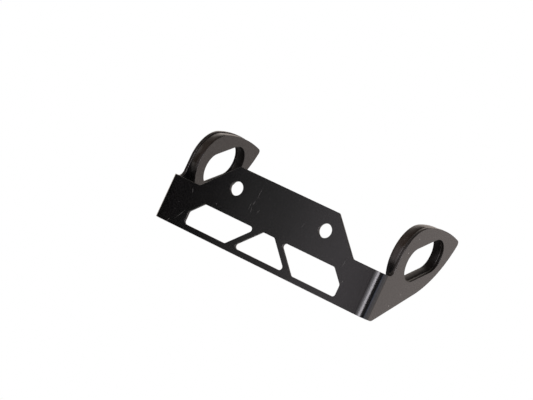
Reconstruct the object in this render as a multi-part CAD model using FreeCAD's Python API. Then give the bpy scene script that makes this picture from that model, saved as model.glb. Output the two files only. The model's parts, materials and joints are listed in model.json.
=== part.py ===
"""Folded sheet bracket that carries a pair of indicator lamps on its two swept-back ears.

The flat plate stands upright, its front face on Y = 0, with the ears folded back towards +Y.
X runs along the plate, Z is up, and the origin is midway between the two bolt holes.
Sizes are in millimetres and degrees.
"""
import FreeCAD, Part
import math
import os

from FreeCAD import Vector

# Sheet and folds
sheet_t = 1.5
bend_inner_r = 3.5

# Plate: two bolt holes in a raised middle with sloping shoulders, and a lower flat end each side
bolt_spacing = 50.0
bolt_hole_d = 6.6
bolt_drop = 9.6             # from the top edge down to the bolt holes
top_margin = 2.75           # from a bolt hole's centre out to the top corner
shoulder_rise = 15.5
end_height = 21.2
end_run = 16.75             # from the foot of a shoulder out to the outside of the ear
top_corner_r = 1.5
shoulder_foot_r = 2.0

# Windows: a trapezium in the middle and a longer one each side, divided by sloping webs
rail_height = 2.7           # strip left below the windows
window_height = 11.9
middle_top_width = 6.7
web_width = 2.5             # square across a sloping web
end_land = 17.25            # from an outer window out to the outside of the ear
window_chamfer = 6.0
window_corner_r = 1.4

# Ear outline, seen square on: a sloping lower edge and four tangent arcs
foot_run = 3.0              # lower edge kept level behind the fold
foot_r = 4.0
ear_rise = 33.6             # slope of the lower edge
notch_run = 0.8             # upper edge kept level behind the fold
notch_r = 3.0
front_r = 16.4
front_sweep = 77.0          # turn of the front arc above level, where the crown takes over
crown_r = 72.0
back_r = 46.0               # starts where the front arc's circle touches the lower edge
tip_r = 2.0

# Lamp slot, placed from the centre of the front arc
slot_width = 16.0
slot_length = 30.0
slot_tilt = 28.0
slot_back = 4.8
slot_up = 2.1

# Lug plate on the inner face of each ear
lug_t = 4.2
lug_inset = 0.3             # its outline lies this far inside the sheet's

# Places that follow from the sizes
bend_outer_r = bend_inner_r + sheet_t
plate_height = end_height + shoulder_rise
top_half = bolt_spacing / 2 + top_margin
shoulder_foot = top_half + shoulder_rise
half_width = shoulder_foot + end_run
bolt_height = plate_height - bolt_drop
foot_y = bend_outer_r + foot_run
front_y = bend_outer_r + notch_run + notch_r
slope = math.radians(ear_rise)


def along(angle, length):
    """Vector in the ear's YZ plane, its angle in degrees from +Y towards +Z."""
    turn = math.radians(angle)
    return Vector(0, length * math.cos(turn), length * math.sin(turn))


def angle_of(vector):
    """Angle of a YZ vector, in degrees from +Y towards +Z."""
    return math.degrees(math.atan2(vector.z, vector.y))


def arc(centre, radius, start, end):
    """Arc edge in the YZ plane between two angles."""
    points = [centre + along(angle, radius) for angle in (start, (start + end) / 2, end)]
    return Part.Arc(*points).toShape()


def closed_face(edges):
    """Face inside edges given in order, with straight lines across the gaps between them."""
    loop = []
    for edge, following in zip(edges, edges[1:] + edges[:1]):
        loop.append(edge)
        end = edge.Vertexes[-1].Point
        start = following.Vertexes[0].Point
        if end.distanceToPoint(start) > 1e-6:
            loop.append(Part.makeLine(end, start))
    return Part.Face(Part.Wire(loop))


def rounded_polygon(corners):
    """Face in the XZ plane from (x, z, corner radius) triples; radius 0 leaves a corner sharp."""
    points = [Vector(x, 0, z) for x, z, _ in corners]
    rounds = []
    for index, (_, _, radius) in enumerate(corners):
        here = points[index]
        back = (points[index - 1] - here).normalize()
        ahead = (points[(index + 1) % len(points)] - here).normalize()
        half = back.getAngle(ahead) / 2
        reach = radius / math.tan(half)
        middle = here + (back + ahead).normalize() * (radius / math.sin(half) - radius)
        rounds.append((here + back * reach, middle, here + ahead * reach))
    edges = []
    for (start, middle, end), (following, _, _) in zip(rounds, rounds[1:] + rounds[:1]):
        if start.distanceToPoint(end) > 1e-6:
            edges.append(Part.Arc(start, middle, end).toShape())
        edges.append(Part.makeLine(end, following))
    return Part.Face(Part.Wire(edges))


def circles_meet(first, first_r, second, second_r):
    """Rearmost point where two circles in the YZ plane cross."""
    gap = second - first
    run = (first_r**2 - second_r**2 + gap.Length**2) / (2 * gap.Length)
    offset = math.sqrt(first_r**2 - run**2)
    way = angle_of(gap)
    crossings = [first + along(way, run) + along(way + side, offset) for side in (90, -90)]
    return max(crossings, key=lambda point: point.y)


def mirrored(shape):
    """The same shape on the other side of the bracket's middle."""
    return shape.mirror(Vector(0, 0, 0), Vector(1, 0, 0))


# Centres of the ear's tangent arcs, and of its lamp slot
front_c_y = front_y + front_r
front_c_z = (front_c_y - foot_y) * math.tan(slope) + front_r / math.cos(slope)
front_c = Vector(0, front_c_y, front_c_z)
crown_c = front_c - along(180 - front_sweep, crown_r - front_r)
back_c = front_c + along(ear_rise + 90, back_r - front_r)
tip_c = circles_meet(back_c, back_r - tip_r, crown_c, crown_r - tip_r)
slot_c = front_c + Vector(0, slot_back, slot_up)


def rim(inset, front_end):
    """Back, tip, crown and front arcs of an ear, drawn in by an inset, to an angle on the front arc."""
    to_tip = angle_of(tip_c - back_c)
    past_tip = angle_of(tip_c - crown_c)
    to_front = 180 - front_sweep
    return [
        arc(back_c, back_r - inset, ear_rise - 90, to_tip),
        arc(tip_c, tip_r - inset, to_tip, past_tip),
        arc(crown_c, crown_r - inset, past_tip, to_front),
        arc(front_c, front_r - inset, to_front, front_end),
    ]


def lamp_slot():
    """Slanted slot with round ends, as a face in the ear's plane."""
    half_run = along(slot_tilt, (slot_length - slot_width) / 2)
    return closed_face([
        arc(slot_c + half_run, slot_width / 2, slot_tilt - 90, slot_tilt + 90),
        arc(slot_c - half_run, slot_width / 2, slot_tilt + 90, slot_tilt + 270),
    ])


def slotted(outline, outer_x, thickness):
    """Ear-shaped solid with the lamp slot through it, from its outer face towards the middle."""
    place = Vector(outer_x, 0, 0)
    through = Vector(-thickness, 0, 0)
    blank = outline.translated(place).extrude(through)
    slot = lamp_slot().translated(place).extrude(through)
    return blank.cut(slot).Solids[0]


def plate_windows():
    """The middle window and the two outer ones, as faces in the plate's front."""
    top = rail_height + window_height
    middle_top = middle_top_width / 2
    middle_foot = middle_top + window_height
    inner_top = middle_top + web_width * math.sqrt(2)
    outer = half_width - end_land
    middle = [(-middle_top, top), (middle_top, top), (middle_foot, rail_height), (-middle_foot, rail_height)]
    side = [
        (inner_top, top),
        (outer - window_chamfer, top),
        (outer, top - window_chamfer),
        (outer, rail_height),
        (inner_top + window_height, rail_height),
    ]
    faces = [rounded_polygon([(x, z, window_corner_r) for x, z in corners]) for corners in (middle, side)]
    return faces + [mirrored(faces[1])]


def plate():
    """Flat middle of the sheet with its windows and bolt holes."""
    flat = half_width - bend_outer_r
    right = [
        (flat, 0, 0),
        (flat, end_height, 0),
        (shoulder_foot, end_height, shoulder_foot_r),
        (top_half, plate_height, top_corner_r),
    ]
    left = [(-x, z, radius) for x, z, radius in reversed(right)]
    through = Vector(0, sheet_t, 0)
    cuts = [window.extrude(through) for window in plate_windows()]
    for side in (-1, 1):
        centre = Vector(side * bolt_spacing / 2, 0, bolt_height)
        cuts.append(Part.makeCylinder(bolt_hole_d / 2, sheet_t, centre, through))
    return rounded_polygon(right + left).extrude(through).cut(cuts)


def fold():
    """Quarter turn of the sheet from the plate's right end into the right ear."""
    flat = half_width - bend_outer_r
    section = Part.makePlane(sheet_t, end_height, Vector(flat, 0, 0), Vector(1, 0, 0), Vector(0, 1, 0))
    return section.revolve(Vector(flat, bend_outer_r, 0), Vector(0, 0, 1), 90)


def ear():
    """Right ear of the sheet: outline, lamp slot and the notch where it rises from the plate's end."""
    foot_c = Vector(0, foot_y - foot_r * math.tan(slope / 2), foot_r)
    notch_c = Vector(0, front_y - notch_r, end_height + notch_r)
    fold_line = Part.makeLine(Vector(0, bend_outer_r, end_height), Vector(0, bend_outer_r, 0))
    foot = arc(foot_c, foot_r, -90, ear_rise - 90)
    notch = arc(notch_c, notch_r, 0, -90)
    return slotted(closed_face([foot] + rim(0, 180) + [notch, fold_line]), half_width, sheet_t)


def folded_bracket():
    """The whole sheet: plate, two folds and two ears in one solid."""
    side = [fold(), ear()]
    return plate().fuse(side + [mirrored(piece) for piece in side]).removeSplitter().Solids[0]


def lug_plate():
    """Right lug: a thick teardrop, round at the front and below, seated on the ear's inner face."""
    return slotted(closed_face(rim(lug_inset, 270 + ear_rise)), half_width - sheet_t, lug_t)


def main():
    """Build every piece, put the origin between the bolt holes and save one file per piece."""
    right_lug = lug_plate()
    pieces = {
        "folded_bracket": folded_bracket(),
        "left_lug_plate": mirrored(right_lug),
        "right_lug_plate": right_lug,
    }
    os.makedirs("parts", exist_ok=True)
    for node, shape in pieces.items():
        shape.translated(Vector(0, 0, -bolt_height)).exportStep(f"parts/{node}.step")


main()
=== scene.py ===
import json
import math

import bmesh
import bpy
from bpy.props import FloatProperty, FloatVectorProperty, PointerProperty
from mathutils import Matrix, Quaternion, Vector


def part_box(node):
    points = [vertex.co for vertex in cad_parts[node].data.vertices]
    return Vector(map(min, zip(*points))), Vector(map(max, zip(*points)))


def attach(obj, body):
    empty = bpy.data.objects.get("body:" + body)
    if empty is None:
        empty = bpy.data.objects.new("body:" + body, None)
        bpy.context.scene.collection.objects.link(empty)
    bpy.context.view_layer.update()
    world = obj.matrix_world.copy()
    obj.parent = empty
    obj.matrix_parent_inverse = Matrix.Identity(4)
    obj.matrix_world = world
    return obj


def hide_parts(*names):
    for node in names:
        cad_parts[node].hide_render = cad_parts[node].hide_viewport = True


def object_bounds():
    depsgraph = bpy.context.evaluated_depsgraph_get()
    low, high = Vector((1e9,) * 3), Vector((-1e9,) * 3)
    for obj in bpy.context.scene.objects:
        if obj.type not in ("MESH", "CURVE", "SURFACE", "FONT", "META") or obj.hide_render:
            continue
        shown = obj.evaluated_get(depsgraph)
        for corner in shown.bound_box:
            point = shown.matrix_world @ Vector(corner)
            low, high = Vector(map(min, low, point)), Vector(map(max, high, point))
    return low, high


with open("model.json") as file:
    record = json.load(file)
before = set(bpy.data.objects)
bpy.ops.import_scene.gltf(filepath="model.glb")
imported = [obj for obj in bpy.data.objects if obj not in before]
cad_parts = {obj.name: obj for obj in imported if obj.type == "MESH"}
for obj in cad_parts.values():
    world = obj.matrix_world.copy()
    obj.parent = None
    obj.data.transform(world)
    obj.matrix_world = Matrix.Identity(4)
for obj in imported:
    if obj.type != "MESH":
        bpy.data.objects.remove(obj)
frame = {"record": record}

bl_info = {
    "name": "Indicator Lamp Bracket",
    "version": (1, 0, 0),
    "blender": (4, 5, 0),
    "location": "View3D > Sidebar > Bracket",
    "description": "Sheet bracket with two folded, slotted ears in satin black powder coat",
    "category": "Object",
}

# The plate stands upright with its front on Y = 0 and the ears folded back towards +Y.
# X runs along the plate, Z is up, and the origin is midway between the bolt holes.
MM = 0.001
SQUARE = math.pi / 2
CAD_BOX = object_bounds()
SHEET_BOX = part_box("folded_bracket")
LUG_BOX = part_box("right_lug_plate")
BOLT_DIMS = next(mount["dims"] for mount in frame["record"]["mounts"] if mount["name"] == "bolts")

# Fineness of the meshes
ARC_TURN = math.radians(4)      # longest turn between two points of an arc
ARC_CHORD = 1.0 * MM            # longest distance between them
ROUND_STEPS = 4                 # facets across a rounded edge
FOLD_STRIPS = 18                # flat strips round each fold
SAME_PLACE = 1e-7               # points nearer than this are one
WALL_CROWN = math.radians(10)   # lean of a cut wall's normals at each edge, as on a crowned wall

# Camera of the photograph
PHOTO_WIDTH = 533               # pixels
FOCAL_PIXELS = 2378.24          # focal length in the photograph's pixels
SENSOR_WIDTH = 36.0             # millimetres, as Blender gives it
AIM = Vector((-17.926, 16.175, 0.711)) * MM     # point in the middle of the picture


def size(name, description, millimetres):
    """A length that a user can change."""
    return FloatProperty(
        name=name,
        description=description,
        default=millimetres * MM,
        min=0,
        precision=5,
        unit="LENGTH",
    )


def angle(name, description, degrees):
    """An angle that a user can change."""
    return FloatProperty(name=name, description=description, default=math.radians(degrees), subtype="ANGLE")


def share(name, description, value):
    """A plain number from 0 to 1."""
    return FloatProperty(name=name, description=description, default=value, min=0, max=1, subtype="FACTOR")


def colour(name, description, value):
    """A linear colour that a user can change."""
    return FloatVectorProperty(
        name=name,
        description=description,
        default=value,
        min=0,
        max=1,
        size=3,
        subtype="COLOR",
    )


class PlateSizes(bpy.types.PropertyGroup):
    """Sheet, folds, plate outline and windows."""

    sheet_t: size("Sheet", "Thickness of the sheet", 1.5)
    edge_r: size("Edge rounding", "Radius that the coat leaves on every cut edge", 0.16)
    bend_inner_r: size("Fold radius", "Inner radius of each fold", 3.5)
    half_width: size("Half width", "From the middle to the outside of an ear", SHEET_BOX[1].x / MM)
    bolt_height: size("Bolt height", "From the lower edge up to the bolt holes", -SHEET_BOX[0].z / MM)
    bolt_spacing: size("Bolt spacing", "Between the bolt holes", BOLT_DIMS["spacing_x_mm"])
    bolt_hole_r: size("Bolt hole", "Radius of a bolt hole", BOLT_DIMS["hole_r_mm"])
    bolt_drop: size("Bolt drop", "From the top edge down to the bolt holes", 9.6)
    top_margin: size("Top margin", "From a bolt hole out to the top corner", 2.75)
    shoulder_rise: size("Shoulder rise", "Height and run of a sloping shoulder", 15.5)
    top_corner_r: size("Top corner", "Radius of a top corner", 1.5)
    shoulder_foot_r: size("Shoulder foot", "Radius at the foot of a shoulder", 2.0)
    rail_height: size("Rail", "Strip left below the windows", 2.7)
    window_height: size("Window height", "Height of the windows", 11.9)
    middle_top_width: size("Middle window", "Width of the middle window at its top", 6.7)
    web_width: size("Web", "Width square across a sloping web", 2.5)
    end_land: size("End land", "From an outer window to the outside of the ear", 17.25)
    window_chamfer: size("Window chamfer", "Cut-off corner of an outer window", 6.0)
    window_corner_r: size("Window corners", "Radius of the windows' corners", 1.4)


class EarSizes(bpy.types.PropertyGroup):
    """Outline of an ear, its lamp slot and its lug plate."""

    foot_run: size("Foot", "Lower edge kept level behind the fold", 3.0)
    foot_r: size("Foot radius", "Radius where the lower edge starts to rise", 4.0)
    rise: angle("Rise", "Slope of the lower edge", 33.6)
    notch_run: size("Notch", "Upper edge kept level behind the fold", 0.8)
    notch_r: size("Notch radius", "Radius at the foot of the front arc", 3.0)
    front_r: size("Front radius", "Radius of the front arc", 16.4)
    front_sweep: angle("Front sweep", "Turn of the front arc above level", 77)
    crown_r: size("Crown radius", "Radius of the arc over the top", 72.0)
    back_r: size("Back radius", "Radius of the arc behind the slot", 46.0)
    tip_r: size("Tip radius", "Radius of the rear tip", 2.0)
    slot_width: size("Slot width", "Width of the lamp slot", 16.0)
    slot_length: size("Slot length", "Length of the lamp slot over its round ends", 30.0)
    slot_tilt: angle("Slot tilt", "Slope of the lamp slot", 28)
    slot_back: size("Slot back", "Slot centre behind the front arc's centre", 4.8)
    slot_up: size("Slot up", "Slot centre above the front arc's centre", 2.1)
    lug_t: size("Lug", "Thickness of a lug plate", (LUG_BOX[1].x - LUG_BOX[0].x) / MM)
    lug_inset: size("Lug inset", "Lug outline inside the sheet's", 0.3)


class CoatLook(bpy.types.PropertyGroup):
    """Satin powder coat, its wear and the painted light on its upper rims."""

    coat: colour("Coat", "Colour of the powder coat", (0.0041, 0.0039, 0.0039))
    edge: colour("Edge", "Thin coat on cut edges", (0.075, 0.062, 0.052))
    # Brown coat on the rims, several times lighter than the paint and used only on their upper part:
    # painted light from above
    cut: colour("Cut", "Thin coat on the ears' rims", (0.015, 0.0108, 0.0082))
    steel: colour("Steel", "Dark steel in the slots and on the sheet's rim", (0.006, 0.0045, 0.0038))
    steel_line: colour("Steel lines", "Cutting lines in the dark steel", (0.040, 0.036, 0.033))
    scuff: colour("Scuff", "Rubbed and scratched places", (0.080, 0.077, 0.074))
    glint: colour("Glint", "Bare metal in the ears' small nicks", (0.35, 0.34, 0.33))
    gloss: share("Roughness", "Roughness of the coat", 0.20)
    grain: size("Grain", "Size of the coat's fine grain", 0.6)
    peel: size("Orange peel", "Size of the coat's slow ripple", 1.3)


class StageLook(bpy.types.PropertyGroup):
    """Camera, floor and floor lamps."""

    distance: size("Distance", "Camera to the point it looks at", 1072.06)
    azimuth: angle("Azimuth", "Camera's turn round the bracket", 30.574)
    elevation: angle("Elevation", "Camera's height above level", 1.003)
    roll: angle("Roll", "Camera's turn about its own axis", 24.897)
    floor_drop: size("Floor drop", "Floor below the bracket", 500)
    floor_reach: size("Floor reach", "From the middle of the floor to its sides", 3000)
    lamp_drop: size("Lamp drop", "Floor lamps below the bracket", 40)
    floor_colour: colour("Floor", "Colour of the floor", (0.45, 0.45, 0.45))


class Signal:
    """A node's output that can be used in Python expressions."""

    def __init__(self, wiring, socket):
        self.wiring = wiring
        self.socket = socket

    def __add__(self, other):
        return self.wiring.maths("ADD", self, other)

    def __radd__(self, other):
        return self.wiring.maths("ADD", other, self)

    def __sub__(self, other):
        return self.wiring.maths("SUBTRACT", self, other)

    def __rsub__(self, other):
        return self.wiring.maths("SUBTRACT", other, self)

    def __mul__(self, other):
        return self.wiring.maths("MULTIPLY", self, other)

    def __rmul__(self, other):
        return self.wiring.maths("MULTIPLY", other, self)

    def __truediv__(self, other):
        return self.wiring.maths("DIVIDE", self, other)

    def __rtruediv__(self, other):
        return self.wiring.maths("DIVIDE", other, self)

    def __abs__(self):
        return self.wiring.maths("ABSOLUTE", self)


class Wiring:
    """Adds and links nodes in one node tree."""

    def __init__(self, tree):
        self.tree = tree

    def add(self, kind, settings=None, inputs=None, output=0):
        """A new node with its settings, then its sockets' values or links."""
        node = self.tree.nodes.new(kind)
        for key, value in (settings or {}).items():
            setattr(node, key, value)
        for key, value in (inputs or {}).items():
            if isinstance(value, Signal):
                self.tree.links.new(value.socket, node.inputs[key])
            else:
                node.inputs[key].default_value = value
        return Signal(self, node.outputs[output]) if node.outputs else node

    def maths(self, operation, *values):
        """One Math node."""
        return self.add("ShaderNodeMath", {"operation": operation}, dict(enumerate(values)))

    def split(self, vector):
        """The three parts of a vector."""
        parts = self.add("ShaderNodeSeparateXYZ", inputs={"Vector": vector})
        return [Signal(self, socket) for socket in parts.socket.node.outputs]

    def ramp(self, value, low, high):
        """0 up to low, 1 from high, and smooth between them. High may lie below low."""
        inputs = {"Value": value, "From Min": low, "From Max": high}
        return self.add("ShaderNodeMapRange", {"interpolation_type": "SMOOTHSTEP"}, inputs)

    def blend(self, factor, first, second):
        """From the first colour to the second."""
        inputs = {0: factor, 6: first, 7: second}
        return self.add("ShaderNodeMix", {"data_type": "RGBA"}, inputs, 2)

    def attribute(self, name):
        """A value kept on the piece's points."""
        return self.add("ShaderNodeAttribute", {"attribute_name": name}, output="Fac")

    def noise(self, place, grain, detail=2.0, stretch=(1, 1, 1)):
        """Noise of a grain size in metres, drawn out along the axes by a stretch."""
        scale = [1 / (grain * factor) for factor in stretch]
        scaled = self.add("ShaderNodeMapping", inputs={"Vector": place, "Scale": scale})
        inputs = {"Vector": scaled, "Scale": 1.0, "Detail": detail}
        return self.add("ShaderNodeTexNoise", inputs=inputs, output="Fac")


def wiring_of(block):
    """Wiring in the emptied node tree of a material or world."""
    block.use_nodes = True
    block.node_tree.nodes.clear()
    return Wiring(block.node_tree)


def opaque(rgb):
    """A colour socket's four numbers."""
    return (*rgb, 1.0)


def polar(turn, length):
    """Vector in the flat, its angle from the first axis towards the second."""
    return Vector((length * math.cos(turn), length * math.sin(turn)))


def heading(vector):
    """Angle of a flat vector."""
    return math.atan2(vector.y, vector.x)


def arc(centre, radius, start, end):
    """Points along an arc between two angles."""
    turn = abs(end - start)
    steps = max(2, math.ceil(turn / ARC_TURN), math.ceil(turn * radius / ARC_CHORD))
    return [centre + polar(start + (end - start) * step / steps, radius) for step in range(steps + 1)]


def rounded_corner(before, corner, after, radius):
    """Points along the arc that rounds a corner off."""
    back = (before - corner).normalized()
    ahead = (after - corner).normalized()
    half = back.angle(ahead) / 2
    reach = radius / math.tan(half)
    centre = corner + (back + ahead).normalized() * (radius / math.sin(half))
    start = heading(corner + back * reach - centre)
    turn = heading(corner + ahead * reach - centre) - start
    turn = (turn + math.pi) % math.tau - math.pi
    return arc(centre, radius, start, start + turn)


def rounded_polygon(corners, radius):
    """Points of a polygon with every corner rounded, in the corners' order."""
    points = []
    for index, corner in enumerate(corners):
        after = corners[(index + 1) % len(corners)]
        points += rounded_corner(corners[index - 1], corner, after, radius)
    return points


def mirrored(points):
    """The same points on the other side of the middle, in the order that keeps the way round."""
    return [Vector((-point.x, point.y)) for point in reversed(points)]


def rear_crossing(first, first_r, second, second_r):
    """Rearmost point where two circles in an ear's plane cross."""
    gap = second - first
    run = (first_r**2 - second_r**2 + gap.length_squared) / (2 * gap.length)
    offset = math.sqrt(first_r**2 - run**2)
    way = heading(gap)
    middle = first + polar(way, run)
    crossings = [middle + polar(way + side * SQUARE, offset) for side in (1, -1)]
    return max(crossings, key=lambda point: point.x)


class Ear:
    """Where an ear's arcs lie, in the ear's own plane: backwards from the plate's front, and up."""

    def __init__(self, plate, ear):
        self.sizes = ear
        low = -plate.bolt_height
        end_top = plate.bolt_drop - plate.shoulder_rise
        bend_outer_r = plate.bend_inner_r + plate.sheet_t
        foot_y = bend_outer_r + ear.foot_run
        front_y = bend_outer_r + ear.notch_run + ear.notch_r
        across = front_y + ear.front_r
        up = low + (across - foot_y) * math.tan(ear.rise) + ear.front_r / math.cos(ear.rise)
        back_in = ear.back_r - ear.tip_r
        crown_in = ear.crown_r - ear.tip_r
        self.front_c = Vector((across, up))
        self.crown_c = self.front_c - polar(math.pi - ear.front_sweep, ear.crown_r - ear.front_r)
        self.back_c = self.front_c + polar(ear.rise + SQUARE, ear.back_r - ear.front_r)
        self.tip_c = rear_crossing(self.back_c, back_in, self.crown_c, crown_in)
        self.slot_c = self.front_c + Vector((ear.slot_back, ear.slot_up))
        self.foot_c = Vector((foot_y - ear.foot_r * math.tan(ear.rise / 2), low + ear.foot_r))
        self.notch_c = Vector((front_y - ear.notch_r, end_top + ear.notch_r))

    def rim(self, inset, front_end):
        """Back, tip, crown and front arcs, drawn in by an inset, to an angle on the front arc."""
        ear = self.sizes
        to_tip = heading(self.tip_c - self.back_c)
        past_tip = heading(self.tip_c - self.crown_c)
        to_front = math.pi - ear.front_sweep
        back = arc(self.back_c, ear.back_r - inset, ear.rise - SQUARE, to_tip)
        tip = arc(self.tip_c, ear.tip_r - inset, to_tip, past_tip)
        crown = arc(self.crown_c, ear.crown_r - inset, past_tip, to_front)
        front = arc(self.front_c, ear.front_r - inset, to_front, front_end)
        return back + tip[1:] + crown[1:] + front[1:]

    def side(self):
        """The ear's part of the sheet's outline, from its foot over the top to its notch."""
        ear = self.sizes
        foot = arc(self.foot_c, ear.foot_r, -SQUARE, ear.rise - SQUARE)
        notch = arc(self.notch_c, ear.notch_r, 0, -SQUARE)
        return foot + self.rim(0, math.pi) + notch

    def lug(self):
        """Outline of the lug plate, round at the front and below."""
        ear = self.sizes
        return self.rim(ear.lug_inset, 3 * SQUARE + ear.rise)[1:]

    def slot(self):
        """Outline of the lamp slot, taken clockwise as an opening is."""
        ear = self.sizes
        end_r = ear.slot_width / 2
        half_run = polar(ear.slot_tilt, ear.slot_length / 2 - end_r)
        over = ear.slot_tilt + SQUARE
        upper = arc(self.slot_c + half_run, end_r, over - math.pi, over)
        lower = arc(self.slot_c - half_run, end_r, over, over + math.pi)
        return (upper + lower)[::-1]


class Blank:
    """The flat sheet before it is folded, with the ears lying in line with the plate."""

    def __init__(self, plate, ear):
        self.plate = plate
        self.ear = Ear(plate, ear)
        self.outer_r = plate.bend_inner_r + plate.sheet_t
        self.fold_start = plate.half_width - self.outer_r
        self.fold_length = (plate.bend_inner_r + plate.sheet_t / 2) * SQUARE

    def unfolded(self, points):
        """Points of the ear's plane, laid flat on the blank."""
        shift = Vector((self.fold_start + self.fold_length - self.outer_r, 0))
        return [point + shift for point in points]

    def outline(self):
        """The blank's edge, anticlockwise from the right ear's foot."""
        plate = self.plate
        top_half = plate.bolt_spacing / 2 + plate.top_margin
        top_middle = Vector((0, plate.bolt_drop))
        corner = Vector((top_half, plate.bolt_drop))
        foot = Vector((top_half + plate.shoulder_rise, plate.bolt_drop - plate.shoulder_rise))
        right = self.unfolded(self.ear.side())
        right += rounded_corner(right[-1], foot, corner, plate.shoulder_foot_r)
        right += rounded_corner(foot, corner, top_middle, plate.top_corner_r)
        return right + mirrored(right)

    def windows(self):
        """The middle window and the two outer ones, clockwise."""
        plate = self.plate
        low = plate.rail_height - plate.bolt_height
        high = low + plate.window_height
        middle_top = plate.middle_top_width / 2
        middle_foot = middle_top + plate.window_height
        inner_top = middle_top + plate.web_width * math.sqrt(2)
        outer = plate.half_width - plate.end_land
        middle = [(-middle_top, high), (middle_top, high), (middle_foot, low), (-middle_foot, low)]
        right = [
            (inner_top, high),
            (outer - plate.window_chamfer, high),
            (outer, high - plate.window_chamfer),
            (outer, low),
            (inner_top + plate.window_height, low),
        ]
        shapes = []
        for corners in (middle, right):
            shapes.append(rounded_polygon([Vector(corner) for corner in corners], plate.window_corner_r))
        return shapes + [mirrored(shapes[1])]

    def bolt_holes(self):
        """The two bolt holes, clockwise."""
        plate = self.plate
        centres = [Vector((side * plate.bolt_spacing / 2, 0)) for side in (-1, 1)]
        return [arc(centre, plate.bolt_hole_r, math.tau, 0)[:-1] for centre in centres]

    def openings(self):
        """Every opening through the sheet."""
        right_slot = self.unfolded(self.ear.slot())
        return self.windows() + self.bolt_holes() + [right_slot, mirrored(right_slot)]


def outward_ways(loop):
    """For each point of a loop, the way out of the material, long enough to keep both edges' offset."""
    ways = []
    for index, point in enumerate(loop):
        before = (point - loop[index - 1]).normalized()
        after = (loop[(index + 1) % len(loop)] - point).normalized()
        first = Vector((before.y, -before.x))
        second = Vector((after.y, -after.x))
        ways.append((first + second) / (1 + first.dot(second)))
    return ways


def edge_profile(thickness, edge_r):
    """(inset, depth, turn of the normal) from a sheet's front face round its edge to the back face."""
    front = []
    for step in range(ROUND_STEPS + 1):
        done = step / ROUND_STEPS
        turn = SQUARE * done
        normal_turn = (SQUARE - WALL_CROWN) * done
        front.append((edge_r * (1 - math.sin(turn)), edge_r * (1 - math.cos(turn)), normal_turn))
    back = [(inset, thickness - depth, math.pi - turn) for inset, depth, turn in reversed(front)]
    return front + back


def cut_sheet(loops, thickness, edge_r):
    """Flat sheet with rounded edges, its depth along +Y, from an outline and then its openings."""
    bm = bmesh.new()
    turn_layer = bm.verts.layers.float.new("edge_turn")
    way_layer = bm.verts.layers.float_vector.new("edge_way")
    opening_layer = bm.verts.layers.float.new("opening")
    faces_edges = ([], [])
    for number, points in enumerate(loops):
        before = points[-1:] + points[:-1]
        loop = [point for point, last in zip(points, before) if (point - last).length > SAME_PLACE]
        ways = outward_ways(loop)
        rings = []
        for inset, depth, turn in edge_profile(thickness, edge_r):
            ring = []
            for point, way in zip(loop, ways):
                place = point - way * inset
                vert = bm.verts.new((place.x, depth, place.y))
                vert[turn_layer] = turn
                vert[way_layer] = (way.x, 0, way.y)
                vert[opening_layer] = float(number > 0)
                ring.append(vert)
            rings.append(ring)
        for ring, deeper in zip(rings, rings[1:]):
            for index in range(len(ring)):
                bm.faces.new((ring[index - 1], ring[index], deeper[index], deeper[index - 1]))
        for edges, ring in zip(faces_edges, (rings[0], rings[-1])):
            edges += [bm.edges.get((ring[index - 1], ring[index])) for index in range(len(ring))]
    for edges in faces_edges:
        bmesh.ops.triangle_fill(bm, use_beauty=True, edges=edges, normal=(0, -1, 0))
    bmesh.ops.recalc_face_normals(bm, faces=bm.faces[:])
    return bm


def score_folds(bm, blank):
    """Divide the blank across each fold, so that it can turn there."""
    for side in (-1, 1):
        for strip in range(FOLD_STRIPS + 1):
            x = side * (blank.fold_start + blank.fold_length * strip / FOLD_STRIPS)
            bmesh.ops.bisect_plane(
                bm,
                geom=bm.verts[:] + bm.edges[:] + bm.faces[:],
                dist=SAME_PLACE,
                plane_co=(x, 0, 0),
                plane_no=(1, 0, 0),
            )


def fold_tree():
    """Geometry nodes that turn both ends of a flat blank back about upright fold lines."""
    tree = bpy.data.node_groups.new("fold_blank", "GeometryNodeTree")
    tree.interface.new_socket("Geometry", in_out="INPUT", socket_type="NodeSocketGeometry")
    for name in ("Fold start", "Fold length", "Outer radius"):
        tree.interface.new_socket(name, in_out="INPUT", socket_type="NodeSocketFloat")
    tree.interface.new_socket("Coat", in_out="INPUT", socket_type="NodeSocketMaterial")
    tree.interface.new_socket("Geometry", in_out="OUTPUT", socket_type="NodeSocketGeometry")
    wiring = Wiring(tree)
    group = wiring.add("NodeGroupInput").socket.node
    named = [Signal(wiring, socket) for socket in group.outputs if socket.name]
    flat, start, length, outer_r, coat = named
    x, depth, z = wiring.split(wiring.add("GeometryNodeInputPosition"))
    side = wiring.maths("SIGN", x)
    reach = abs(x)
    before = wiring.maths("MINIMUM", reach, start)
    inside = wiring.maths("MINIMUM", wiring.maths("MAXIMUM", reach - start, 0), length)
    beyond = wiring.maths("MAXIMUM", reach - start - length, 0)
    turn = inside / length * SQUARE
    radius = outer_r - depth
    sine = wiring.maths("SINE", turn)
    cosine = wiring.maths("COSINE", turn)
    folded_x = (before + radius * sine + beyond * cosine) * side
    folded_y = outer_r - radius * cosine + beyond * sine
    place = wiring.add("ShaderNodeCombineXYZ", inputs={"X": folded_x, "Y": folded_y, "Z": z})
    marked = wiring.add(
        "GeometryNodeStoreNamedAttribute",
        {"data_type": "FLOAT", "domain": "POINT"},
        {"Geometry": flat, "Name": "fold_turn", "Value": turn * side},
    )
    bent = wiring.add("GeometryNodeSetPosition", inputs={"Geometry": marked, "Position": place})
    real = wiring.add("GeometryNodeRealizeInstances", inputs={"Geometry": bent})
    coated = wiring.add("GeometryNodeSetMaterial", inputs={"Geometry": real, "Material": coat})
    wiring.add("NodeGroupOutput", inputs={"Geometry": coated})
    return tree


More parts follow.
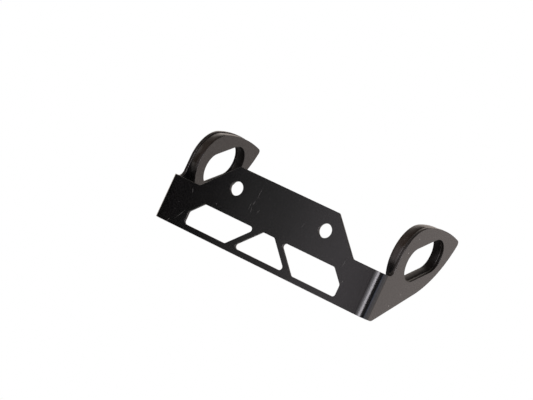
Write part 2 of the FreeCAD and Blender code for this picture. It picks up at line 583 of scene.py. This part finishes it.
def fold(obj, blank, coat):
    """Replace a flat blank's mesh by its folded one."""
    modifier = obj.modifiers.new("fold", "NODES")
    modifier.node_group = fold_tree()
    values = {
        "Fold start": blank.fold_start,
        "Fold length": blank.fold_length,
        "Outer radius": blank.outer_r,
        "Coat": coat,
    }
    for item in modifier.node_group.interface.items_tree:
        if item.name in values:
            modifier[item.identifier] = values[item.name]
    depsgraph = bpy.context.evaluated_depsgraph_get()
    mesh = bpy.data.meshes.new_from_object(obj.evaluated_get(depsgraph))
    obj.modifiers.remove(modifier)
    flat_mesh = obj.data
    obj.data = mesh
    bpy.data.meshes.remove(flat_mesh)


def shade_edges(mesh, turn_of):
    """Smooth shading with exact normals, from the edge profile and a turn about Z at each vertex."""
    turns = mesh.attributes["edge_turn"].data
    ways = mesh.attributes["edge_way"].data
    normals = []
    for index in range(len(mesh.vertices)):
        turn = turns[index].value
        way = Vector(ways[index].vector)
        normal = Vector((0, -math.cos(turn), 0))
        if way.length > 0:
            normal += way.normalized() * math.sin(turn)
        normals.append(Matrix.Rotation(turn_of(index), 3, "Z") @ normal)
    mesh.polygons.foreach_set("use_smooth", [True] * len(mesh.polygons))
    mesh.normals_split_custom_set_from_vertices(normals)
    mesh.attributes.remove(mesh.attributes["edge_way"])


def new_object(name, bm):
    """Object at the origin with a finished bmesh."""
    mesh = bpy.data.meshes.new(name)
    bm.to_mesh(mesh)
    bm.free()
    obj = bpy.data.objects.new(name, mesh)
    bpy.context.scene.collection.objects.link(obj)
    return obj


def stand_for(piece, node):
    """Put a piece in the place of a CAD node."""
    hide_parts(node)
    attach(piece, "root")


COAT_NAME = "satin_powder_coat"

# Where the coat changes: each starts at the first place and is full at the second
WALL_FROM = (0.9, 0.98)                 # sine of the edge's turn, on the way to a cut wall
SLOTS_FROM = (3 * MM, 6 * MM)           # backwards; openings behind the fold are lamp slots
RIM_COAT_AND_TOP_LIGHT_FROM = (-3 * MM, 5 * MM)           # upwards, brown coat on the rims, lighter towards the top as painted light from above
SHEET_FROM = (-0.2 * MM, 0.1 * MM)      # outwards from the lug plates' seats, the ears' sheet
SHEET_STEEL_TO = (15.5 * MM, 18.5 * MM)     # upwards, end of the dark steel on the sheet's rim
LINES_TO = (32 * MM, 37 * MM)           # backwards, end of the cutting lines in a slot

# Sizes of the coat's patterns
CLOUD = 14 * MM                 # slow change of tone
CHIP = 3 * MM                   # worn stretches of an edge
SPECK = 1.3 * MM                # dust caught in the coat
STREAK = 0.9 * MM               # cutting lines on a wall
STREAK_RUN = 40                 # how much longer than wide they are
FLOW = 0.5 * MM                 # spots where the coat ran out to a higher gloss

# Noise between which each pattern goes from none to full
NOISE_MIDDLE = 0.5
TONE_NOISE = (0.36, 0.66)
CHIP_NOISE = (0.35, 0.65)
SPECK_NOISE = (0.76, 0.80)
LINE_NOISE = (0.35, 0.65)
FLOW_NOISE = (0.40, 0.62)
SCUFF_NOISE = (0.0, 0.55)

# How strong each pattern is at its fullest
DARK_TONE = 0.6                 # times the coat's colour
LIGHT_TONE = 1.4
CLOUD_SHARE = 0.3               # of the tone; the grain gives the rest
CHIP_SHARE = 0.55
SPECK_SHARE = 0.12
SCUFF_SHARE = 0.75
GLINT_SHARE = 0.8
STEEL_METAL = 0.65
FLOW_COAT = 0.24

# What each pattern adds to the roughness
GRAIN_ROUGH = 0.18
SCUFF_ROUGH = 0.2
STREAK_ROUGH = 0.3
SLOT_ROUGH = 0.2
RIM_ROUGH = 0.06
CORNER_ROUGH = 0.25

# Relief of the coat, beside the slow ripple's own height of 1
GRAIN_HEIGHT = 0.55
STREAK_HEIGHT = 5.0
SCUFF_DEPTH = 0.4
RELIEF_STRENGTH = 0.28
RELIEF_DISTANCE = 0.02 * MM

# Marks in the coat, in millimetres and degrees: place, half length, half width and tilt
PLATE_MARKS = (
    ((-45.5, 0.0, -9.4), 1.6, 0.22, -65),
    ((-31.2, 0.0, -10.1), 0.5, 0.32, 0),
    ((-12.8, 0.0, 2.2), 3.6, 0.14, 87),
    ((-13.5, 0.0, -2.6), 1.5, 0.20, 72),
    ((-13.4, 0.0, -6.0), 2.1, 0.13, -77),
    ((-14.8, 0.0, -4.6), 2.2, 0.17, 89),
    ((-9.7, 0.0, -5.2), 1.4, 0.14, 63),
    ((-46.3, 0.0, -21.3), 4.5, 0.13, 58),
    ((-50.9, 0.0, -25.8), 0.9, 0.28, 60),
    ((-49.6, 0.0, -16.7), 0.4, 0.18, 20),
    ((14.0, 0.0, -2.0), 1.6, 0.16, 75),
    ((40.4, 0.0, -9.2), 2.2, 0.13, 80),
    ((43.4, 0.0, -16.6), 0.9, 0.16, 75),
)
EAR_MARKS = (
    ((60.0, 13.0, 6.4), 0.6, 0.35, 60),
    ((60.0, 17.0, 13.9), 0.5, 0.3, 20),
    ((60.0, 17.0, -18.1), 0.5, 0.35, 40),
    ((60.0, 23.0, -11.6), 0.5, 0.3, 100),
)
MARK_SKIN = 0.3 * MM            # how far a mark reaches off its face
MARK_FADE = (1.0, 0.2)          # from a mark's edge in to where it is full, in its half sizes


def mark_mask(wiring, place, marks, axis):
    """Mask of small marks on a face square to X or Y."""
    mask = 0.0
    for centre, half_length, half_width, tilt in marks:
        turn = math.radians(tilt)
        if axis == "Y":
            rotation = (0, -turn, 0)
            scale = (half_length * MM, MARK_SKIN, half_width * MM)
        else:
            rotation = (turn, 0, 0)
            scale = (MARK_SKIN, half_length * MM, half_width * MM)
        inputs = {"Vector": place, "Location": Vector(centre) * MM, "Rotation": rotation, "Scale": scale}
        local = wiring.add("ShaderNodeMapping", {"vector_type": "TEXTURE"}, inputs)
        far = wiring.add("ShaderNodeVectorMath", {"operation": "LENGTH"}, {0: local}, "Value")
        mask = wiring.maths("MAXIMUM", mask, wiring.ramp(far, *MARK_FADE))
    return mask


class CoatPlaces:
    """Where the coat changes over a piece, as values from 0 to 1."""

    def __init__(self, wiring, place, plate):
        across, back, up = wiring.split(place)
        turn = wiring.attribute("edge_turn")
        opening = wiring.attribute("opening")
        seat = plate.half_width - plate.sheet_t
        double = wiring.maths("SINE", turn * 2)
        self.corner = double * double
        self.wall = wiring.ramp(wiring.maths("SINE", turn), *WALL_FROM)
        self.rim = self.wall * (1 - opening)
        # Rims from about mid-height up, which take a lighter brown colour: painted light from above, with a
        # brown coat
        self.rim_coat_and_top_light = self.rim * wiring.ramp(up, *RIM_COAT_AND_TOP_LIGHT_FROM)
        self.slot = self.wall * opening * wiring.ramp(back, *SLOTS_FROM)
        sheet_rim = self.rim * wiring.ramp(abs(across) - seat, *SHEET_FROM)
        sheet_steel = sheet_rim * (1 - wiring.ramp(up, *SHEET_STEEL_TO))
        self.steel = wiring.maths("MAXIMUM", self.slot, sheet_steel)
        self.lined = 1 - wiring.ramp(back, *LINES_TO)


class CoatPatterns:
    """Grain, wear and marks of the coat, as values from 0 to 1."""

    def __init__(self, wiring, place, look):
        self.grain = wiring.noise(place, look.grain)
        self.peel = wiring.noise(place, look.peel, detail=1.0)
        self.cloud = wiring.noise(place, CLOUD, detail=3.0)
        self.chips = wiring.ramp(wiring.noise(place, CHIP), *CHIP_NOISE)
        self.specks = wiring.ramp(wiring.noise(place, SPECK, detail=0.0), *SPECK_NOISE)
        self.streaks = wiring.noise(place, STREAK, detail=3.0, stretch=(1, STREAK_RUN, STREAK_RUN))
        self.flow = wiring.ramp(wiring.noise(place, FLOW, detail=1.0), *FLOW_NOISE)
        rubbed = wiring.ramp(self.grain, *SCUFF_NOISE)
        self.scuffs = mark_mask(wiring, place, PLATE_MARKS, "Y") * rubbed * SCUFF_SHARE
        self.glints = mark_mask(wiring, place, EAR_MARKS, "X") * GLINT_SHARE


def coat_colour(wiring, look, places, patterns):
    """Colour of the coat: paint, brown rim coat lighter on the upper rims as painted light from above, dark
    steel, worn edges, scuffs and nicks.
    """
    dark = opaque(DARK_TONE * channel for channel in look.coat)
    light = opaque(LIGHT_TONE * channel for channel in look.coat)
    tone = patterns.cloud * CLOUD_SHARE + patterns.grain * (1 - CLOUD_SHARE)
    paint = wiring.blend(wiring.ramp(tone, *TONE_NOISE), dark, light)
    # Painted light: the upper rims take the lighter brown colour
    paint = wiring.blend(places.rim_coat_and_top_light, paint, opaque(look.cut))
    lines = wiring.ramp(patterns.streaks, *LINE_NOISE) * places.lined
    steel = wiring.blend(lines, opaque(look.steel), opaque(look.steel_line))
    paint = wiring.blend(places.steel, paint, steel)
    paint = wiring.blend(places.corner * patterns.chips * CHIP_SHARE, paint, opaque(look.edge))
    rubs = wiring.maths("MAXIMUM", patterns.scuffs, patterns.specks * SPECK_SHARE)
    paint = wiring.blend(rubs, paint, opaque(look.scuff))
    return wiring.blend(patterns.glints, paint, opaque(look.glint))


def coat_roughness(look, places, patterns):
    """Roughness of the coat, with what each pattern adds to it."""
    rough = look.gloss + (patterns.grain - NOISE_MIDDLE) * GRAIN_ROUGH
    rough += patterns.scuffs * SCUFF_ROUGH
    rough += places.wall * (patterns.streaks - NOISE_MIDDLE) * STREAK_ROUGH
    rough += places.slot * SLOT_ROUGH
    rough += places.rim * RIM_ROUGH
    rough += places.corner * (1 - places.wall) * CORNER_ROUGH
    return rough


def coat_relief(wiring, places, patterns):
    """Bump of the grain and the slow ripple, with cutting lines on the walls and sunken scuffs."""
    height = (patterns.grain * GRAIN_HEIGHT + patterns.peel) * (1 - places.wall)
    height += places.wall * patterns.streaks * STREAK_HEIGHT
    height -= patterns.scuffs * SCUFF_DEPTH
    inputs = {"Strength": RELIEF_STRENGTH, "Distance": RELIEF_DISTANCE, "Height": height}
    return wiring.add("ShaderNodeBump", inputs=inputs)


def coat_material(look, plate):
    """Satin black powder coat over dark cut steel."""
    wiring = wiring_of(bpy.data.materials.new(COAT_NAME))
    place = wiring.add("ShaderNodeTexCoord", output="Object")
    places = CoatPlaces(wiring, place, plate)
    patterns = CoatPatterns(wiring, place, look)
    inputs = {
        "Base Color": coat_colour(wiring, look, places, patterns),
        "Metallic": wiring.maths("MAXIMUM", places.steel * STEEL_METAL, patterns.glints),
        "Roughness": coat_roughness(look, places, patterns),
        "Normal": coat_relief(wiring, places, patterns),
        "Specular IOR Level": 0.46,
        "Coat Weight": patterns.flow * FLOW_COAT * (1 - places.wall),
        "Coat Roughness": 0.16,
    }
    shader = wiring.add("ShaderNodeBsdfPrincipled", inputs=inputs)
    wiring.add("ShaderNodeOutputMaterial", inputs={"Surface": shader})


class BRACKET_OT_coat(bpy.types.Operator):
    """Make the powder coat"""

    bl_idname = "bracket.coat"
    bl_label = "Powder coat"

    def execute(self, context):
        coat_material(context.scene.bracket_coat, context.scene.bracket_plate)
        return {"FINISHED"}


class BRACKET_OT_folded_sheet(bpy.types.Operator):
    """Cut the blank, fold both ears back and put the sheet in the CAD sheet's place"""

    bl_idname = "bracket.folded_sheet"
    bl_label = "Folded sheet"

    def execute(self, context):
        plate = context.scene.bracket_plate
        blank = Blank(plate, context.scene.bracket_ear)
        bm = cut_sheet([blank.outline()] + blank.openings(), plate.sheet_t, plate.edge_r)
        score_folds(bm, blank)
        sheet = new_object("powder_coated_sheet", bm)
        fold(sheet, blank, bpy.data.materials[COAT_NAME])
        turns = [item.value for item in sheet.data.attributes["fold_turn"].data]
        shade_edges(sheet.data, turns.__getitem__)
        sheet.data.attributes.remove(sheet.data.attributes["fold_turn"])
        stand_for(sheet, "folded_bracket")
        return {"FINISHED"}


class BRACKET_OT_lug_plates(bpy.types.Operator):
    """Cut the two lug plates and seat them on the ears' inner faces"""

    bl_idname = "bracket.lug_plates"
    bl_label = "Lug plates"

    def execute(self, context):
        plate = context.scene.bracket_plate
        sizes = context.scene.bracket_ear
        ear = Ear(plate, sizes)
        seat = plate.half_width - plate.sheet_t
        for name, side in (("left", -1), ("right", 1)):
            loops = [ear.lug(), ear.slot()]
            if side < 0:
                loops = [mirrored(loop) for loop in loops]
            quarter = side * SQUARE
            lug = new_object(f"{name}_powder_coated_lug", cut_sheet(loops, sizes.lug_t, plate.edge_r))
            seated = Matrix.Translation((side * seat, 0, 0)) @ Matrix.Rotation(quarter, 4, "Z")
            lug.data.transform(seated)
            lug.data.materials.append(bpy.data.materials[COAT_NAME])
            shade_edges(lug.data, lambda index: quarter)
            stand_for(lug, f"{name}_lug_plate")
        return {"FINISHED"}


def way_of(azimuth, elevation):
    """Way out from the bracket, from degrees: 0 is the front, 90 the right and -90 the left."""
    turn = math.radians(azimuth)
    lift = math.radians(elevation)
    return Vector((math.sin(turn) * math.cos(lift), -math.cos(turn) * math.cos(lift), math.sin(lift)))


def camera(look):
    """Camera of the photograph: long lens, nearly level and turned about its own axis."""
    data = bpy.data.cameras.new("camera")
    data.sensor_width = SENSOR_WIDTH
    data.lens = FOCAL_PIXELS / PHOTO_WIDTH * SENSOR_WIDTH
    data.clip_start = 0.01
    data.clip_end = 100
    obj = bpy.data.objects.new("camera", data)
    back = way_of(math.degrees(look.azimuth), math.degrees(look.elevation))
    obj.location = AIM + back * look.distance
    obj.rotation_mode = "QUATERNION"
    obj.rotation_quaternion = (-back).to_track_quat("-Z", "Y") @ Quaternion((0, 0, 1), look.roll)
    bpy.context.scene.collection.objects.link(obj)
    bpy.context.scene.camera = obj


def softbox(name, place, facing, width, height, power, tint):
    """Rectangular lamp at a place, facing one way, its sizes in metres."""
    data = bpy.data.lights.new(name, "AREA")
    data.shape = "RECTANGLE"
    data.size = width
    data.size_y = height
    data.energy = power
    data.color = tint
    obj = bpy.data.objects.new(name, data)
    obj.location = place
    obj.rotation_euler = facing.to_track_quat("-Z", "Y").to_euler()
    obj.visible_camera = False
    bpy.context.scene.collection.objects.link(obj)


# Lamps: name, azimuth and elevation in degrees, distance, width and height in metres, watts and colour
LAMPS = (
    ("key_lamp", 36, 0, 0.35, 0.115, 0.30, 1.07, (0.98, 0.94, 1.0)),
    ("front_right_lamp", 27, 0, 0.20, 0.045, 0.20, 0.105, (0.96, 0.94, 1.0)),
    ("front_lamp", 15, 0, 0.20, 0.035, 0.20, 0.042, (1.0, 0.95, 1.0)),
    ("front_left_lamp", 3, 0, 0.20, 0.05, 0.20, 0.030, (1.0, 0.95, 1.0)),
    ("left_card", -20, 0, 0.35, 0.05, 0.30, 0.026, (1.0, 0.88, 0.96)),
    ("near_left_card", -20, 0, 0.197, 0.045, 0.20, 0.0195, (1.0, 0.95, 0.985)),
    ("middle_left_card", -32, 0, 0.213, 0.040, 0.20, 0.0080, (1.0, 1.0, 1.0)),
    ("left_strip", -90, 17, 0.21, 0.30, 0.10, 0.065, (1.0, 0.96, 0.94)),
    ("right_strip", 84, 0, 0.35, 0.05, 0.30, 0.040, (0.42, 0.60, 1.0)),
)

# Lamps below the bracket that light the floor alone: name, azimuth in degrees, distance, width and
# depth in metres, watts and colour
FLOOR_LAMPS = (
    ("back_floor_lamp", 180, 1.90, 3.6, 1.6, 46.0, (1.0, 0.98, 0.96)),
    ("left_floor_lamp", -60, 2.00, 1.2, 2.0, 20.0, (1.0, 0.98, 0.96)),
    ("right_floor_lamp", 58, 1.85, 1.4, 2.0, 22.0, (1.0, 0.98, 0.96)),
)

# Bright cards far round the bracket, in degrees: azimuth, half width, lowest and highest elevation
# and the width over which the edges fade, then level and colour
CARDS = (
    (96, 14, -35, 35, 6, 1.22, (1.0, 0.95, 1.0)),
    (122, 12, -35, 35, 6, 1.15, (1.0, 0.96, 0.98)),
    (142, 8, -35, 35, 6, 0.74, (1.0, 0.87, 0.80)),
    (162, 12, -35, 35, 6, 1.12, (1.0, 0.89, 0.85)),
    (182, 8, -35, 35, 6, 0.80, (1.0, 0.92, 0.88)),
    (-150, 14, -35, 35, 6, 0.80, (1.0, 0.88, 0.80)),
    (-127, 15, -35, 52, 16, 1.08, (1.0, 0.92, 0.84)),
    (-95, 25, 42, 70, 12, 0.45, (1.0, 0.92, 0.84)),
    (-45, 22, 18, 60, 12, 0.30, (1.0, 0.86, 0.76)),
    (-85, 24, -35, -10, 6, 0.90, (1.0, 0.95, 0.92)),
    (-85, 24, 10, 25, 6, 0.90, (1.0, 0.95, 0.92)),
)
WHITE = (1.0, 1.0, 1.0, 1.0)


def card_light(wiring, turn, lift, card):
    """Light of one card, from the turn and the lift of the way that a ray leaves in."""
    *angles, level, tint = card
    azimuth, half_width, low, high, fade = [math.radians(degrees) for degrees in angles]
    soft = fade / 2
    away = abs(wiring.maths("WRAP", turn - azimuth, math.pi, -math.pi))
    mask = wiring.ramp(away, half_width + soft, half_width - soft)
    mask *= wiring.ramp(lift, low - soft, low + soft)
    mask *= wiring.ramp(lift, high + soft, high - soft)
    return wiring.add("ShaderNodeBackground", inputs={"Color": opaque(tint), "Strength": mask * level})


def white_to_camera(wiring, lit, white):
    """White where the camera looks straight at it, and lit for every other ray."""
    seen = wiring.add("ShaderNodeLightPath", output="Is Camera Ray")
    return wiring.add("ShaderNodeMixShader", inputs={"Fac": seen, 1: lit, 2: white})


def studio_world():
    """Plain white for the camera; for the bracket's own light, a few bright cards in the dark."""
    world = bpy.data.worlds.new("studio")
    bpy.context.scene.world = world
    wiring = wiring_of(world)
    x, y, z = wiring.split(wiring.add("ShaderNodeTexCoord", output="Generated"))
    turn = wiring.maths("ARCTAN2", x, 0 - y)
    lift = wiring.maths("ARCSINE", z)
    lit, *others = [card_light(wiring, turn, lift, card) for card in CARDS]
    for other in others:
        lit = wiring.add("ShaderNodeAddShader", inputs={0: lit, 1: other})
    white = wiring.add("ShaderNodeBackground", inputs={"Color": WHITE, "Strength": 1.0})
    wiring.add("ShaderNodeOutputWorld", inputs={"Surface": white_to_camera(wiring, lit, white)})


def studio_floor(look):
    """Pale floor well below the bracket."""
    material = bpy.data.materials.new("pale_floor")
    wiring = wiring_of(material)
    matt = wiring.add("ShaderNodeBsdfDiffuse", inputs={"Color": opaque(look.floor_colour)})
    white = wiring.add("ShaderNodeEmission", inputs={"Color": WHITE, "Strength": 1.0})
    wiring.add("ShaderNodeOutputMaterial", inputs={"Surface": white_to_camera(wiring, matt, white)})
    bm = bmesh.new()
    drop = Matrix.Translation((0, 0, CAD_BOX[0].z - look.floor_drop))
    bmesh.ops.create_grid(bm, x_segments=1, y_segments=1, size=look.floor_reach, matrix=drop)
    floor = new_object("pale_floor", bm)
    floor.data.materials.append(material)


class BRACKET_OT_stage(bpy.types.Operator):
    """Set up the camera, the soft lamps, the white surroundings and the floor"""

    bl_idname = "bracket.stage"
    bl_label = "Stage"

    def execute(self, context):
        look = context.scene.bracket_stage
        context.scene.view_settings.view_transform = "Standard"
        camera(look)
        studio_world()
        studio_floor(look)
        for name, azimuth, elevation, distance, *rest in LAMPS:
            way = way_of(azimuth, elevation)
            softbox(name, way * distance, -way, *rest)
        for name, azimuth, distance, *rest in FLOOR_LAMPS:
            place = way_of(azimuth, 0) * distance
            place.z = CAD_BOX[0].z - look.lamp_drop
            softbox(name, place, Vector((0, 0, -1)), *rest)
        return {"FINISHED"}


class BRACKET_PT_panel(bpy.types.Panel):
    """Sizes and colours of the bracket, and the steps that make it"""

    bl_idname = "BRACKET_PT_panel"
    bl_label = "Indicator lamp bracket"
    bl_space_type = "VIEW_3D"
    bl_region_type = "UI"
    bl_category = "Bracket"

    def draw(self, context):
        for operator in OPERATORS:
            self.layout.operator(operator.bl_idname)
        for name, group in GROUPS.items():
            box = self.layout.box()
            for key in group.__annotations__:
                box.prop(getattr(context.scene, name), key)


GROUPS = {
    "bracket_plate": PlateSizes,
    "bracket_ear": EarSizes,
    "bracket_coat": CoatLook,
    "bracket_stage": StageLook,
}
OPERATORS = (BRACKET_OT_coat, BRACKET_OT_folded_sheet, BRACKET_OT_lug_plates, BRACKET_OT_stage)


def register():
    """Add the classes and the scene's settings."""
    for cls in (*GROUPS.values(), *OPERATORS, BRACKET_PT_panel):
        bpy.utils.register_class(cls)
    for name, group in GROUPS.items():
        setattr(bpy.types.Scene, name, PointerProperty(type=group))


def unregister():
    """Remove the scene's settings and the classes."""
    for name in GROUPS:
        delattr(bpy.types.Scene, name)
    for cls in (BRACKET_PT_panel, *reversed(OPERATORS), *reversed(GROUPS.values())):
        bpy.utils.unregister_class(cls)


def main():
    """Make the coat, the pieces and the stage."""
    register()
    bpy.ops.bracket.coat()
    bpy.ops.bracket.folded_sheet()
    bpy.ops.bracket.lug_plates()
    bpy.ops.bracket.stage()


if __name__ == "__main__":
    main()
